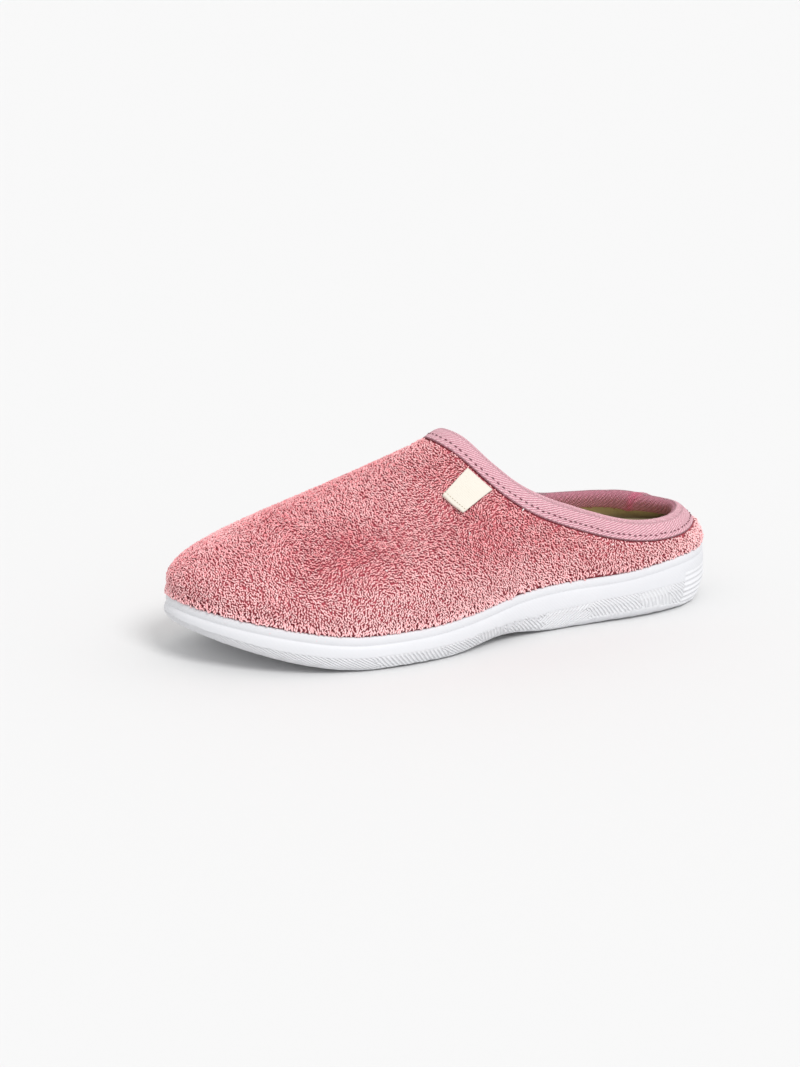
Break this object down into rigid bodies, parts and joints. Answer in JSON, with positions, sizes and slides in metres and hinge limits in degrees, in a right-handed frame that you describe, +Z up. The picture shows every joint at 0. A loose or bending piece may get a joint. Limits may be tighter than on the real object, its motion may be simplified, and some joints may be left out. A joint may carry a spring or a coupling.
{
  "type": "terry slipper",
  "caption": "Closed-toe terry house slipper with a low back, taped collar, soft footbed, side label and a moulded sole with toe spring and a ribbed side.",
  "frame": {"origin": "on the floor under the middle of the slipper's box", "axes": "+X to the toe, +Y to the outer (little toe) side of this left slipper, +Z up"},
  "size_m": [0.2522, 0.0962, 0.0849],
  "materials": {
    "sole_foam": "matte",
    "footbed_cloth": "matte",
    "terry_cloth": "matte",
    "binding_tape": "matte",
    "label_cloth": "matte"
  },
  "bodies": {
    "root": {"sole": "sole_foam", "insole": "footbed_cloth", "upper": "terry_cloth", "collar_binding": "binding_tape", "label": "label_cloth"}
  },
  "joints": []
}
